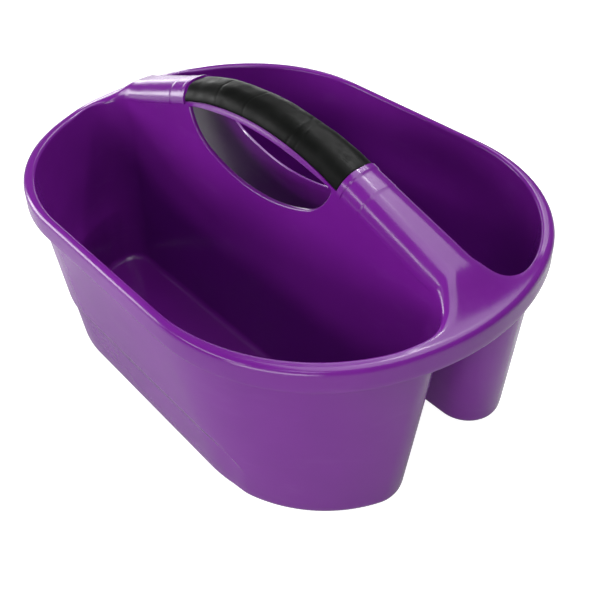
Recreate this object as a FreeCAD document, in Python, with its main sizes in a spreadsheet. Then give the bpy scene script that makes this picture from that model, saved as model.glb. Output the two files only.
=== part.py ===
import FreeCAD, Part
import Sketcher
import math
import os

# Cleaning caddy: a moulded tub with two D-shaped bins either side of a hollow ridge, and a soft sleeve
# on the ridge's arched top. X runs along the handle, Y across the two bins, Z up.
# The origin is on the floor, under the middle of the handle. Millimetres throughout.

doc = FreeCAD.newDocument("cleaning_caddy")

# ---------------------------------------------------------------- driving dimensions
SIZES = {
    "wall": 2.6,
    "floor_thickness": 2.8,
    # rim
    "rim_height": 152.5,
    "rim_half_length": 200.0,
    "rim_half_width": 148.0,
    "rim_nose_radius": 175.0,
    "rim_corner_radius": 128.0,
    "rim_round": 4.5,
    "skirt_depth": 16.5,
    "skirt_flare": 0.6,
    # bins, where their outsides meet the top of the rim
    "mouth_half_width": 144.6,
    "mouth_half_gap": 16.4,
    "mouth_end_centre": 61.0,
    "mouth_end_radius": 130.0,
    # bins, where they stand on the floor
    "foot_half_width": 130.8,
    "foot_half_gap": 28.0,
    "foot_end_centre": 76.0,
    "foot_end_radius": 108.0,
    "foot_round": 8.0,
    "gap_corner_radius": 26.0,
    # shallow step low on each bin, deepest at its left end and fading down to the foot on the right
    "step_height": 52.0,
    "step_end_depth": 5.0,
    "step_side_depth": 1.2,
    "step_turn": 77.0,
    "step_radius": 39.2,
    # ridge and handle
    "handle_top": 213.0,
    "handle_half_length": 83.0,
    "ridge_slope": 0.345,
    "ridge_shoulder": 173.0,
    "ridge_toe": 189.0,
    "ridge_toe_rise": 3.0,
    "ridge_shoulder_round": 22.0,
    "ridge_round": 12.4,
    "ridge_root": 120.0,
    "ridge_toe_sink": 0.3,
    "hollow_half_length": 196.9,
    "cap_depth": 11.0,
    "band_proud": 0.4,
    "band_end": 171.0,
    "collar_proud": 1.0,
    "collar_end": 105.0,
    "bead_proud": 1.6,
    "bead_end": 88.0,
    # grip sleeve
    "sleeve_thickness": 2.0,
    "sleeve_proud": 1.0,
    "seat_depth": 0.8,
    "sleeve_depth": 11.8,
    "sleeve_end_gap": 0.8,
    # hand opening
    "opening_half_length": 77.0,
    "opening_top": 195.5,
    "opening_bottom": 149.3,
    "opening_top_radius": 280.0,
    "opening_bottom_radius": 140.0,
    "opening_corner_radius": 39.0,
    "opening_edge_round": 1.0,
    # heights well above and below the whole caddy, for the shapes that are cut away
    "sky": 260.0,
    "below": -20.0,
}

sheet = doc.addObject("Spreadsheet::Sheet", "Dimensions")
for row, (alias, value) in enumerate(SIZES.items(), start=1):
    sheet.set("A%d" % row, alias.replace("_", " "))
    sheet.set("B%d" % row, str(value))
    sheet.setAlias("B%d" % row, alias)
doc.recompute()


def size(alias):
    return float(sheet.get(alias))


def cell(alias):
    return "Dimensions." + alias


# ---------------------------------------------------------------- small helpers
def new_body(name):
    body = doc.addObject("PartDesign::Body", name)
    body.Label = name
    return body


def new_sketch(body, name, role, height=None):
    """A sketch on one of the body's own origin planes, lifted along its normal by an expression."""
    sketch = body.newObject("Sketcher::SketchObject", name)
    plane = [feature for feature in body.Origin.OriginFeatures if feature.Role == role][0]
    sketch.AttachmentSupport = [(plane, "")]
    sketch.MapMode = "FlatFace"
    if height:
        sketch.setExpression("AttachmentOffset.Base.z", height)
    return sketch


def bind(sketch, kind, references, name, value, expression):
    """A dimension of the sketch that follows the spreadsheet."""
    index = sketch.addConstraint(Sketcher.Constraint(kind, *references, value))
    sketch.renameConstraint(index, name)
    sketch.setExpression("Constraints." + name, expression)


def join(sketch, kinds):
    """Join each piece of a closed outline to the next: Tangent for a smooth joint, Coincident for a corner."""
    for index, kind in enumerate(kinds):
        sketch.addConstraint(Sketcher.Constraint(kind, index, 2, (index + 1) % len(kinds), 1))


def arc(centre, radius, start, end):
    circle = Part.Circle(FreeCAD.Vector(centre[0], centre[1], 0), FreeCAD.Vector(0, 0, 1), radius)
    return Part.ArcOfCircle(circle, start, end)


def line(start, end):
    return Part.LineSegment(FreeCAD.Vector(*start, 0), FreeCAD.Vector(*end, 0))


class Amount:
    """A size with the expression that gives it, so a sketch starts close to where it will solve."""

    def __init__(self, value, expression):
        self.value = value
        self.expression = expression

    def plus(self, factor, alias):
        expression = "%s + %s * %s" % (self.expression, factor, cell(alias))
        return Amount(self.value + factor * size(alias), expression)


def amount(alias):
    return Amount(size(alias), cell(alias))


def grown(alias, growth):
    """A size moved out by a growth, itself an Amount."""
    return Amount(size(alias) + growth.value, "%s + %s" % (cell(alias), growth.expression))


def oval_sketch(body, name, height, growth):
    """The rim's outline: straight sides, a tighter arc at each corner, a flatter arc across each end.
    growth moves the whole outline out (or in, when it is negative)."""
    sketch = new_sketch(body, name, "XY_Plane", height)
    half_length = grown("rim_half_length", growth)
    half_width = grown("rim_half_width", growth)
    nose = grown("rim_nose_radius", growth)
    corner = grown("rim_corner_radius", growth)
    nose_x = half_length.value - nose.value
    side_y = half_width.value
    corner_y = side_y - corner.value
    corner_run = math.sqrt((nose.value - corner.value) ** 2 - corner_y ** 2)
    corner_x = nose_x + corner_run
    turn = math.atan2(corner_y, corner_run)
    pieces = [
        line((-corner_x, -side_y), (corner_x, -side_y)),
        arc((corner_x, -corner_y), corner.value, -math.pi / 2, -turn),
        arc((nose_x, 0), nose.value, -turn, turn),
        arc((corner_x, corner_y), corner.value, turn, math.pi / 2),
        line((corner_x, side_y), (-corner_x, side_y)),
        arc((-corner_x, corner_y), corner.value, math.pi / 2, math.pi - turn),
        arc((-nose_x, 0), nose.value, math.pi - turn, math.pi + turn),
        arc((-corner_x, -corner_y), corner.value, math.pi + turn, 1.5 * math.pi),
    ]
    sketch.addGeometry(pieces, False)
    join(sketch, ["Tangent"] * len(pieces))
    sketch.addConstraint([Sketcher.Constraint("Horizontal", 0), Sketcher.Constraint("Horizontal", 4)])
    sketch.addConstraint([Sketcher.Constraint("PointOnObject", end, 3, -1) for end in (2, 6)])
    bind(sketch, "DistanceY", (0, 1, -1, 1), "near_side", side_y, half_width.expression)
    bind(sketch, "DistanceY", (-1, 1, 4, 1), "far_side", side_y, half_width.expression)
    centre = "%s - (%s)" % (half_length.expression, nose.expression)
    bind(sketch, "DistanceX", (-1, 1, 2, 3), "right_end", nose_x, centre)
    bind(sketch, "DistanceX", (6, 3, -1, 1), "left_end", nose_x, centre)
    for index in (2, 6):
        bind(sketch, "Radius", (index,), "nose_radius_%d" % index, nose.value, nose.expression)
    for index in (1, 3, 5, 7):
        bind(sketch, "Radius", (index,), "corner_radius_%d" % index, corner.value, corner.expression)
    return sketch


def bin_sketch(body, name, height, level, inset, step=0):
    """The D-shaped outline of the bin on the -Y side, at one height: inset is in walls, and step is 1
    where the outline is moved in by the shallow step low on the bin."""
    sketch = new_sketch(body, name, "XY_Plane", height)
    half_width = amount(level + "_half_width").plus(-inset, "wall").plus(-step, "step_side_depth")
    half_gap = amount(level + "_half_gap").plus(inset, "wall")
    radius = amount(level + "_end_radius").plus(-inset, "wall").plus(-step, "step_side_depth")
    centre = amount(level + "_end_centre").plus(step, "step_side_depth").plus(-step, "step_end_depth")
    inner = amount("gap_corner_radius").plus(-inset, "wall")
    end_x = centre.value
    end_y = half_width.value - radius.value
    inner_y = half_gap.value + inner.value
    inner_run = math.sqrt((radius.value - inner.value) ** 2 - (inner_y - end_y) ** 2)
    inner_x = end_x + inner_run
    turn = math.atan2(inner_y - end_y, inner_run)
    pieces = [
        line((-end_x, -half_width.value), (end_x, -half_width.value)),
        arc((end_x, -end_y), radius.value, -math.pi / 2, -turn),
        arc((inner_x, -inner_y), inner.value, -turn, math.pi / 2),
        line((inner_x, -half_gap.value), (-inner_x, -half_gap.value)),
        arc((-inner_x, -inner_y), inner.value, math.pi / 2, math.pi + turn),
        arc((-end_x, -end_y), radius.value, math.pi + turn, 1.5 * math.pi),
    ]
    sketch.addGeometry(pieces, False)
    join(sketch, ["Tangent"] * len(pieces))
    sketch.addConstraint([Sketcher.Constraint("Horizontal", 0), Sketcher.Constraint("Horizontal", 3)])
    bind(sketch, "DistanceY", (0, 1, -1, 1), "side", half_width.value, half_width.expression)
    bind(sketch, "DistanceY", (3, 1, -1, 1), "ridge_side", half_gap.value, half_gap.expression)
    bind(sketch, "DistanceX", (-1, 1, 1, 3), "right_end", end_x, centre.expression)
    bind(sketch, "DistanceX", (5, 3, -1, 1), "left_end", end_x, centre.expression)
    for index in (1, 5):
        bind(sketch, "Radius", (index,), "end_radius_%d" % index, radius.value, radius.expression)
    for index in (2, 4):
        bind(sketch, "Radius", (index,), "inner_radius_%d" % index, inner.value, inner.expression)
    return sketch


def loft(body, name, lower, upper, kind="PartDesign::AdditiveLoft"):
    feature = body.newObject(kind, name)
    feature.Profile = lower
    feature.Sections = [upper]
    feature.Ruled = True
    doc.recompute()
    return feature


def edges_where(feature, test):
    """Names of the edges whose points all pass a test."""
    names = []
    for number, edge in enumerate(feature.Shape.Edges, start=1):
        if edge.Length < 1e-6:
            continue
        first, last = edge.ParameterRange
        points = [edge.valueAt(first + (last - first) * step / 4) for step in range(5)]
        if all(test(point) for point in points):
            names.append("Edge%d" % number)
    return names


def round_edges(body, name, base, test, radius):
    fillet = body.newObject("PartDesign::Fillet", name)
    fillet.Base = (base, edges_where(base, test))
    fillet.Radius = size(radius) if isinstance(radius, str) else radius.value
    fillet.setExpression("Radius", cell(radius) if isinstance(radius, str) else radius.expression)
    doc.recompute()
    return fillet


def mirrored(source, name, normal):
    feature = doc.addObject("Part::Mirroring", name)
    feature.Source = source
    feature.Base = FreeCAD.Vector(0, 0, 0)
    feature.Normal = FreeCAD.Vector(*normal)
    doc.recompute()
    return feature


def joined(name, pieces):
    fusion = doc.addObject("Part::MultiFuse", name)
    fusion.Shapes = pieces
    fusion.Refine = True
    doc.recompute()
    return fusion


def cut(name, base, tool):
    difference = doc.addObject("Part::Cut", name)
    difference.Base = base
    difference.Tool = tool
    doc.recompute()
    return difference


# ---------------------------------------------------------------- bins
def bin_block(name, inset, step=0):
    """A tapered D-shaped block with a rounded foot: the outside of a bin, or the space inside it."""
    body = new_body(name)
    bottom = cell("floor_thickness") if inset else None
    top = cell("rim_height") + (" + " + cell("floor_thickness") if inset else "")
    lower = bin_sketch(body, name + "_foot", bottom, "foot", inset, step)
    upper = bin_sketch(body, name + "_mouth", top, "mouth", inset)
    block = loft(body, name + "_loft", upper, lower)
    height = lower.AttachmentOffset.Base.z
    rounding = amount("foot_round").plus(-inset, "wall")
    round_edges(body, name + "_round", block, lambda point: abs(point.z - height) < 1e-3, rounding)
    return body


def step_region(name, inset):
    """Where a bin is stepped in, seen from the side: a low band that turns down to the foot on the right."""
    body = new_body(name)
    sketch = new_sketch(body, name + "_outline", "XZ_Plane")
    top = amount("step_height").plus(inset, "wall")
    radius = amount("step_radius").plus(inset, "wall")
    turn = amount("step_turn")
    low = amount("below")
    left = amount("rim_half_length").plus(1, "foot_round")
    centre = top.value - radius.value
    dip = math.asin((centre - low.value) / radius.value)
    right = turn.value + radius.value * math.cos(dip)
    sketch.addGeometry([
        arc((turn.value, centre), radius.value, -dip, math.pi / 2),
        line((turn.value, top.value), (-left.value, top.value)),
        line((-left.value, top.value), (-left.value, low.value)),
        line((-left.value, low.value), (right, low.value)),
    ], False)
    join(sketch, ("Tangent", "Coincident", "Coincident", "Coincident"))
    sketch.addConstraint([Sketcher.Constraint("Horizontal", 1), Sketcher.Constraint("Vertical", 2),
                          Sketcher.Constraint("Horizontal", 3)])
    bind(sketch, "Radius", (0,), "radius", radius.value, radius.expression)
    bind(sketch, "DistanceX", (-1, 1, 0, 3), "turn", turn.value, turn.expression)
    bind(sketch, "DistanceY", (-1, 1, 1, 2), "top", top.value, top.expression)
    bind(sketch, "DistanceX", (1, 2, -1, 1), "left", left.value, left.expression)
    bind(sketch, "DistanceY", (3, 1, -1, 1), "low", -low.value, "-(%s)" % low.expression)
    pad = body.newObject("PartDesign::Pad", name + "_pad")
    pad.Profile = sketch
    pad.Midplane = True
    pad.Length = 4 * size("rim_half_width")
    pad.setExpression("Length", "4 * " + cell("rim_half_width"))
    doc.recompute()
    return body


def stepped_bin(name, inset):
    """A bin's block, moved in where the step is."""
    region = step_region(name + "_step", inset)
    above = cut(name + "_above", bin_block(name + "_full", inset), region)
    low = doc.addObject("Part::Common", name + "_low")
    low.Base = bin_block(name + "_narrow", inset, 1)
    low.Tool = region
    return joined(name, [above, low])


bin_outside = stepped_bin("bin_outside", 0)
bin_inside = stepped_bin("bin_inside", 1)


# ---------------------------------------------------------------- rim
def rim_block(name, top, growth_top, bottom, growth_bottom, rounding):
    """The rim with its skirt as a closed block: its outside, or the space under it."""
    body = new_body(name)
    upper = oval_sketch(body, name + "_top", top, growth_top)
    lower = oval_sketch(body, name + "_hem", bottom, growth_bottom)
    block = loft(body, name + "_loft", upper, lower)
    height = upper.AttachmentOffset.Base.z
    round_edges(body, name + "_round", block, lambda point: abs(point.z - height) < 1e-3, rounding)
    return body


none = Amount(0.0, "0")
hem = cell("rim_height") + " - " + cell("skirt_depth")
rim_outside = rim_block("rim_outside", cell("rim_height"), none, hem, none.plus(1, "skirt_flare"),
                        amount("rim_round"))
inward = none.plus(-1, "wall")
rim_inside = rim_block("rim_inside", cell("rim_height") + " - " + cell("wall"), inward,
                       hem, inward.plus(1, "skirt_flare"), amount("rim_round").plus(-1, "wall"))


# ---------------------------------------------------------------- ridge and handle
def outline(sketch, corners):
    """A closed outline of straight lines through corners, each fixed to the sheet."""
    count = len(corners)
    places = [(x.value, y.value) for x, y in corners]
    for index, place in enumerate(places):
        sketch.addGeometry(line(place, places[(index + 1) % count]), False)
    join(sketch, ["Coincident"] * count)
    for index, (x, y) in enumerate(corners):
        for kind, distance in (("DistanceX", x), ("DistanceY", y)):
            name = "%s_%d" % (kind, index)
            bind(sketch, kind, (-1, 1, index, 1), name, distance.value, distance.expression)


def section_corners(low, high, line_at):
    """A section across the ridge, between two heights: its walls lean in towards the top."""
    return [(line_at(height, side), height)
            for height, side in ((low, -1), (low, 1), (high, 1), (high, -1))]


def leaning_wall(thickness, proud):
    """Half the width of the ridge at a height, measured on the drafted wall of the bins."""
    base = amount("foot_half_gap").plus(thickness, "wall")
    if proud:
        base = base.plus(*proud)
    drop = size("foot_half_gap") - size("mouth_half_gap")

    def at(height, side):
        rise = height.value - thickness * size("floor_thickness")
        value = side * (base.value - drop * rise / size("rim_height"))
        expression = "%d * (%s - (%s - %s) * (%s - %s * %s) / %s)" % (
            side, base.expression, cell("foot_half_gap"), cell("mouth_half_gap"), height.expression,
            thickness, cell("floor_thickness"), cell("rim_height"))
        return Amount(value, expression)

    return at


def ridge_prism(body, name, wall_at, low, high, start, length, centred):
    """The ridge's section carried along X."""
    section = new_sketch(body, name + "_section", "YZ_Plane", start)
    outline(section, section_corners(low, high, wall_at))
    pad = body.newObject("PartDesign::Pad", name + "_pad")
    pad.Profile = section
    pad.Midplane = centred
    pad.Length = length.value
    pad.setExpression("Length", length.expression)
    doc.recompute()
    return pad


def cut_through(body, name, sketch):
    """Remove a side outline right across the ridge."""
    before = body.Shape.Volume
    pocket = body.newObject("PartDesign::Pocket", name)
    pocket.Profile = sketch
    pocket.Type = 1
    pocket.Midplane = True
    doc.recompute()
    assert body.Shape.Volume < before - 1, name + " cut nothing"
    return pocket


sky = amount("sky")
below = amount("below")
deck = amount("rim_height").plus(-1, "wall")
LEAN = "sqrt(1 + %s ^ 2)" % cell("ridge_slope")
def handle_arc(inward):
    """Radius of the handle's arch, which runs smoothly into the sloping ridge at each end."""
    slope = size("ridge_slope")
    outer = size("handle_half_length") * math.hypot(1, slope) / slope
    expression = "%s * %s / %s" % (cell("handle_half_length"), LEAN, cell("ridge_slope"))
    return Amount(outer - inward.value, "%s - (%s)" % (expression, inward.expression))


def slope_height(alias, lift):
    """Height of the ridge's sloping crown at a distance along X, lifted square to the slope."""
    slope = size("ridge_slope")
    lean = math.hypot(1, slope)
    rise = size("handle_half_length") * (lean - 1) / slope
    run = size(alias) - size("handle_half_length")
    value = size("handle_top") - rise - slope * run + lift.value * lean
    expression = "%s - %s * (%s - 1) / %s - %s * (%s - %s) + (%s) * %s" % (
        cell("handle_top"), cell("handle_half_length"), LEAN, cell("ridge_slope"), cell("ridge_slope"),
        cell(alias), cell("handle_half_length"), lift.expression, LEAN)
    return Amount(value, expression)


def long_top_edge(point):
    return point.z > size("ridge_root") + 1 and abs(point.y) > 5


def ridge_end():
    """One sloping end of the ridge, from the handle down to the rim."""
    body = new_body("ridge_end")
    start = amount("handle_half_length")
    end = amount("rim_half_length").plus(-1, "wall")
    length = end.plus(-1, "handle_half_length")
    ridge_prism(body, "ridge_end", leaning_wall(1, None), amount("ridge_root"), sky, start.expression,
                length, False)
    above = new_sketch(body, "ridge_end_above", "XZ_Plane")
    toe_height = amount("rim_height").plus(1, "ridge_toe_rise")
    outline(above, [
        (start, slope_height("handle_half_length", none)),
        (amount("ridge_shoulder"), slope_height("ridge_shoulder", none)),
        (amount("ridge_toe"), toe_height),
        (end, amount("rim_height").plus(-1, "ridge_toe_sink")),
        (end, sky.plus(1, "wall")),
        (start, sky.plus(1, "wall")),
    ])
    crown = cut_through(body, "ridge_end_crown", above)

    def shoulder_edge(point):
        return abs(point.x - size("ridge_shoulder")) < 1e-3 and point.z > size("rim_height")

    shoulder = round_edges(body, "ridge_end_shoulder", crown, shoulder_edge, amount("ridge_shoulder_round"))

    def crown_edge(point):
        return long_top_edge(point) and point.z > size("rim_height") - 3 and abs(point.y) > 8

    edge = round_edges(body, "ridge_end_round", shoulder, crown_edge, amount("ridge_round"))
    under = new_sketch(body, "ridge_end_under", "XZ_Plane")
    outline(under, [(none, below), (end.plus(1, "wall"), below), (end.plus(1, "wall"), deck), (none, deck)])
    cut_through(body, "ridge_end_root", under)
    return body


def ridge_cap(name, proud, end):
    """A thin raised band over the ridge's crown, from the handle outwards."""
    body = new_body(name)
    start = amount("handle_half_length")
    reach = amount(end)
    lift = amount(proud)
    ridge_prism(body, name, leaning_wall(1, (1, proud)), amount("ridge_root"), sky, start.expression,
                reach.plus(-1, "handle_half_length"), False)
    above = new_sketch(body, name + "_above", "XZ_Plane")
    outline(above, [(start, slope_height("handle_half_length", lift)), (reach, slope_height(end, lift)),
                    (reach, sky.plus(1, "wall")), (start, sky.plus(1, "wall"))])
    crown = cut_through(body, name + "_crown", above)
    round_edges(body, name + "_round", crown, long_top_edge_on_slope, amount("ridge_round").plus(1, proud))
    depth = Amount(-size("cap_depth"), "-" + cell("cap_depth"))
    under = new_sketch(body, name + "_under", "XZ_Plane")
    outline(under, [(start, below), (reach, below), (reach, slope_height(end, depth)),
                    (start, slope_height("handle_half_length", depth))])
    cut_through(body, name + "_hem", under)
    return body


def long_top_edge_on_slope(point):
    return abs(point.y) > 8 and point.z > size("rim_height") + 5


def arch_sketch(body, name, inward, far):
    """Everything on one side of an arc that runs alongside the handle's arch."""
    sketch = new_sketch(body, name, "XZ_Plane")
    radius = handle_arc(inward)
    half = amount("handle_half_length").plus(1, "wall")
    centre = Amount(size("handle_top") - handle_arc(none).value,
                    "%s - (%s)" % (cell("handle_top"), handle_arc(none).expression))
    spread = math.asin(half.value / radius.value)
    end_height = centre.value + radius.value * math.cos(spread)
    sketch.addGeometry([
        arc((0, centre.value), radius.value, math.pi / 2 - spread, math.pi / 2 + spread),
        line((-half.value, end_height), (-half.value, far.value)),
        line((-half.value, far.value), (half.value, far.value)),
        line((half.value, far.value), (half.value, end_height)),
    ], False)
    join(sketch, ["Coincident"] * 4)
    sketch.addConstraint([Sketcher.Constraint("Vertical", 1), Sketcher.Constraint("Horizontal", 2),
                          Sketcher.Constraint("Vertical", 3),
                          Sketcher.Constraint("PointOnObject", 0, 3, -2)])
    bind(sketch, "Radius", (0,), "radius", radius.value, radius.expression)
    bind(sketch, "DistanceY", (-1, 1, 0, 3), "centre", centre.value, centre.expression)
    bind(sketch, "DistanceX", (-1, 1, 0, 1), "right", half.value, half.expression)
    bind(sketch, "DistanceX", (0, 2, -1, 1), "left", half.value, half.expression)
    bind(sketch, "DistanceY", (-1, 1, 2, 1), "far", far.value, far.expression)
    return sketch


def handle_prism(name, proud, inward, rounding, end_gap=None):
    """The ridge's section along the handle, up to an arc alongside the handle's top."""
    body = new_body(name)
    length = amount("handle_half_length")
    if end_gap:
        length = length.plus(-1, end_gap)
    full = Amount(2 * length.value, "2 * (%s)" % length.expression)
    ridge_prism(body, name, leaning_wall(1, proud), amount("ridge_root"), sky, None, full, True)
    crown = cut_through(body, name + "_crown", arch_sketch(body, name + "_above", inward, sky))
    if rounding:
        round_edges(body, name + "_round", crown, long_top_edge_on_slope, rounding)
    return body


def hand_opening():
    """The oval hole through both walls of the ridge, under the handle."""
    body = new_body("hand_opening")
    sketch = new_sketch(body, "hand_opening_outline", "XZ_Plane")
    floor_radius = size("opening_bottom_radius")
    roof_radius = size("opening_top_radius")
    corner = size("opening_corner_radius")
    corner_x = size("opening_half_length") - corner
    floor_centre = size("opening_bottom") + floor_radius
    roof_centre = size("opening_top") - roof_radius
    corner_drop = math.sqrt((floor_radius - corner) ** 2 - corner_x ** 2)
    corner_z = floor_centre - corner_drop
    turn = math.atan2(corner_x, corner_drop)
    apart = math.hypot(corner_x, corner_z - roof_centre)
    along = (corner ** 2 - roof_radius ** 2 + apart ** 2) / (2 * apart)
    swing = math.acos(along / corner)
    meet = math.atan2(roof_centre - corner_z, -corner_x) + swing
    end_x = corner_x + corner * math.cos(meet)
    roof_turn = math.asin(end_x / roof_radius)
    low = -math.pi / 2
    sketch.addGeometry([
        arc((0, floor_centre), floor_radius, low - turn, low + turn),
        arc((corner_x, corner_z), corner, low + turn, meet),
        arc((0, roof_centre), roof_radius, math.pi / 2 - roof_turn, math.pi / 2 + roof_turn),
        arc((-corner_x, corner_z), corner, math.pi - meet, low - turn + 2 * math.pi),
    ], False)
    join(sketch, ("Tangent", "Coincident", "Coincident", "Tangent"))
    sketch.addConstraint([Sketcher.Constraint("PointOnObject", centre, 3, -2) for centre in (0, 2)])
    bind(sketch, "Radius", (0,), "bottom_radius", floor_radius, cell("opening_bottom_radius"))
    bind(sketch, "Radius", (2,), "top_radius", roof_radius, cell("opening_top_radius"))
    bind(sketch, "DistanceY", (-1, 1, 0, 3), "bottom_centre", floor_centre,
         cell("opening_bottom") + " + " + cell("opening_bottom_radius"))
    bind(sketch, "DistanceY", (2, 3, -1, 1), "top_centre", -roof_centre,
         cell("opening_top_radius") + " - " + cell("opening_top"))
    half = cell("opening_half_length") + " - " + cell("opening_corner_radius")
    bind(sketch, "DistanceX", (-1, 1, 1, 3), "right_corner", corner_x, half)
    bind(sketch, "DistanceX", (3, 3, -1, 1), "left_corner", corner_x, half)
    for index in (1, 3):
        bind(sketch, "Radius", (index,), "corner_radius_%d" % index, corner, cell("opening_corner_radius"))
    pad = body.newObject("PartDesign::Pad", "hand_opening_pad")
    pad.Profile = sketch
    pad.Midplane = True
    pad.Length = 4 * size("foot_half_gap")
    pad.setExpression("Length", "4 * " + cell("foot_half_gap"))
    doc.recompute()
    return body


def ridge_hollow():
    """Half of the space inside the ridge, open to the floor between the bins."""
    body = new_body("ridge_hollow")
    end = amount("hollow_half_length")
    ridge_prism(body, "ridge_hollow", leaning_wall(0, None), below, sky, None, end, False)
    inward = amount("sleeve_thickness").plus(1, "wall")
    radius = handle_arc(inward)
    centre = Amount(size("handle_top") - handle_arc(none).value,
                    "%s - (%s)" % (cell("handle_top"), handle_arc(none).expression))
    lift = Amount(-inward.value, "-(%s)" % inward.expression)
    shoulder = amount("ridge_shoulder").plus(-1, "wall")
    shoulder_height = slope_height("ridge_shoulder", lift)
    spread = math.atan(size("ridge_slope"))
    meeting = (radius.value * math.sin(spread), centre.value + radius.value * math.cos(spread))
    apex = (0, centre.value + radius.value)
    places = [apex, (0, sky.value), (end.value, sky.value), (end.value, deck.value),
              (size("ridge_toe"), deck.value), (shoulder.value, shoulder_height.value), meeting]
    sketch = new_sketch(body, "ridge_hollow_above", "XZ_Plane")
    sketch.addGeometry(arc((0, centre.value), radius.value, math.pi / 2 - spread, math.pi / 2), False)
    for first, second in zip(places, places[1:]):
        sketch.addGeometry(line(first, second), False)
    join(sketch, ["Coincident"] * 7)
    sketch.addConstraint([Sketcher.Constraint("PointOnObject", 0, 3, -2),
                          Sketcher.Constraint("PointOnObject", 1, 1, -2), Sketcher.Constraint("Vertical", 1),
                          Sketcher.Constraint("Horizontal", 2), Sketcher.Constraint("Vertical", 3),
                          Sketcher.Constraint("Horizontal", 4)])
    bind(sketch, "Radius", (0,), "radius", radius.value, radius.expression)
    bind(sketch, "DistanceY", (-1, 1, 0, 3), "centre", centre.value, centre.expression)
    bind(sketch, "DistanceY", (-1, 1, 2, 1), "sky", sky.value, sky.expression)
    bind(sketch, "DistanceX", (-1, 1, 3, 1), "end", end.value, end.expression)
    bind(sketch, "DistanceY", (-1, 1, 4, 1), "deck", deck.value, deck.expression)
    bind(sketch, "DistanceX", (-1, 1, 5, 1), "toe", size("ridge_toe"), cell("ridge_toe"))
    bind(sketch, "DistanceX", (-1, 1, 6, 1), "shoulder", shoulder.value, shoulder.expression)
    bind(sketch, "DistanceY", (-1, 1, 6, 1), "shoulder_height", shoulder_height.value,
         shoulder_height.expression)
    bind(sketch, "DistanceX", (-1, 1, 0, 1), "meeting", meeting[0],
         "(%s) * %s / %s" % (radius.expression, cell("ridge_slope"), LEAN))
    crown = cut_through(body, "ridge_hollow_crown", sketch)
    round_edges(body, "ridge_hollow_round", crown, long_top_edge_on_slope,
                amount("ridge_round").plus(-1, "wall").plus(-1, "seat_depth"))
    return body


ridge_end_body = ridge_end()
caps = [ridge_cap("ridge_band", "band_proud", "band_end"),
        ridge_cap("ridge_collar", "collar_proud", "collar_end"),
        ridge_cap("ridge_bead", "bead_proud", "bead_end")]
handle_lip = handle_prism("handle_lip", None, amount("sleeve_depth"), None)
handle_seat = handle_prism("handle_seat", (-1, "seat_depth"), amount("sleeve_thickness"),
                           amount("ridge_round").plus(-1, "seat_depth"))
sleeve_outside = handle_prism("sleeve_outside", (1, "sleeve_proud"), none,
                              amount("ridge_round").plus(1, "sleeve_proud"), "sleeve_end_gap")
cut_through(sleeve_outside, "sleeve_hem",
            arch_sketch(sleeve_outside, "sleeve_below", amount("sleeve_depth"), below))
hollow_half = ridge_hollow()
opening = hand_opening()


# ---------------------------------------------------------------- the two pieces
def opening_edges(shape):
    """The edges where the hand opening meets the outer faces of the ridge's two walls."""
    wall_at = leaning_wall(1, None)
    numbers = []
    for number, edge in enumerate(shape.Edges, start=1):
        if edge.Length < 4 * size("opening_edge_round"):
            continue
        first, last = edge.ParameterRange
        points = [edge.valueAt(first + (last - first) * step / 4) for step in range(5)]
        if all(abs(abs(point.y) - wall_at(Amount(point.z, ""), 1).value) < 1e-2
               and opening.Shape.distToShape(Part.Vertex(point))[0] < 1e-3
               and size("opening_bottom") - 1 < point.z < size("opening_top") + 1 for point in points):
            numbers.append(number)
    return numbers


ALONG = (1, 0, 0)
ACROSS = (0, 1, 0)
rim = cut("rim", rim_outside, rim_inside)
mouldings = [rim, bin_outside, mirrored(bin_outside, "far_bin_outside", ACROSS), handle_lip, handle_seat]
for end_piece in [ridge_end_body] + caps:
    mouldings += [end_piece, mirrored(end_piece, end_piece.Name + "_left", ALONG)]
solid_tub = joined("solid_tub", mouldings)
spaces = joined("spaces", [bin_inside, mirrored(bin_inside, "far_bin_inside", ACROSS), hollow_half,
                           mirrored(hollow_half, "ridge_hollow_left", ALONG), opening])
open_tub = cut("open_tub", solid_tub, spaces)
caddy_tub = doc.addObject("Part::Fillet", "caddy_tub")
caddy_tub.Base = open_tub
edge_round = size("opening_edge_round")
caddy_tub.Edges = [(number, edge_round, edge_round) for number in opening_edges(open_tub.Shape)]
grip_sleeve = cut("grip_sleeve", sleeve_outside, handle_seat)
doc.recompute()


# ---------------------------------------------------------------- checks and files
for piece in doc.Objects:
    assert not {"Invalid", "Error"} & set(piece.State), piece.Name + " did not build"
os.makedirs("parts", exist_ok=True)
for piece in (caddy_tub, grip_sleeve):
    piece.Label = piece.Name
    shape = piece.Shape
    sound = not shape.isNull() and shape.isValid() and len(shape.Solids) == 1
    assert sound, piece.Name + " is not one sound solid"
    print(piece.Name, round(shape.Volume), len(shape.Faces), shape.BoundBox)
for piece in (caddy_tub, grip_sleeve):
    piece.Shape.exportStep("parts/%s.step" % piece.Label)
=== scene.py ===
import math

import bmesh
import bpy
import numpy as np
from mathutils import Matrix, Vector


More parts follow.
